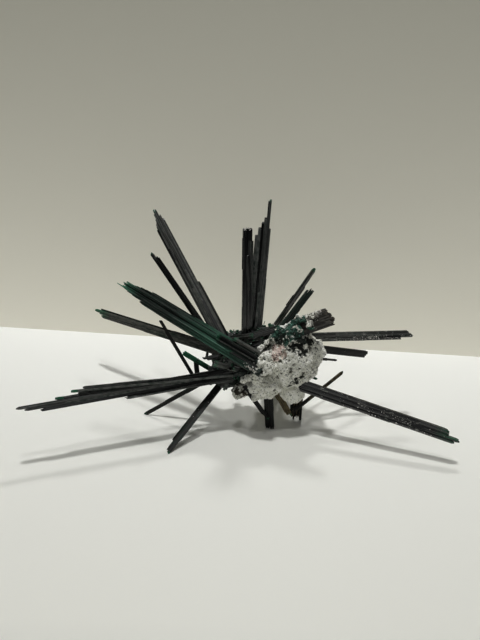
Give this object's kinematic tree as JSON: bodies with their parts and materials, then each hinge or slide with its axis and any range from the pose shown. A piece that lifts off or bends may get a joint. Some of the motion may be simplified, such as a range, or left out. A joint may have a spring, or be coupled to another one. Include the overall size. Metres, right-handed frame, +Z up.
{
  "type": "brochantite specimen",
  "caption": "Spray of long dark green blade crystals radiating from a dark root mass on a lump of pale pitted rock, standing on its lowest crystals.",
  "frame": {"origin": "centre of the specimen's footprint, on the surface that it stands on", "axes": "+X to the right along the longest way across the spray, +Y to the back, +Z up"},
  "size_m": [0.1262, 0.0674, 0.0729],
  "materials": {
    "pale_rock": "rough, pitted, matt, off-white with a green crust on top and a pink stain",
    "dark_crystal": "glassy, finely striated along its length, near black with a green cast",
    "green_crystal": "glassy, finely striated along its length, dark bluish green",
    "brown_crystal": "dull, fibrous, brown-black with a pale crust"
  },
  "bodies": {
    "root": {"rock_matrix": "pale_rock", "root_cluster": "dark_crystal", "tall_left_blade": "dark_crystal", "slim_left_blade": "dark_crystal", "green_front_blade": "green_crystal", "back_left_blade": "dark_crystal", "crossing_stubs": "dark_crystal", "long_left_blade": "dark_crystal", "low_left_needle": "dark_crystal", "left_leg": "dark_crystal", "middle_leg": "dark_crystal", "foot_plate": "dark_crystal", "long_right_blade": "dark_crystal", "level_right_blade": "dark_crystal", "short_right_blade": "dark_crystal", "right_needle": "dark_crystal", "right_stub_needle": "dark_crystal", "brown_stub": "brown_crystal", "rising_needle": "dark_crystal", "teal_blade": "green_crystal", "twin_uprights": "dark_crystal", "back_leg": "dark_crystal", "back_blade": "dark_crystal"}
  },
  "joints": []
}
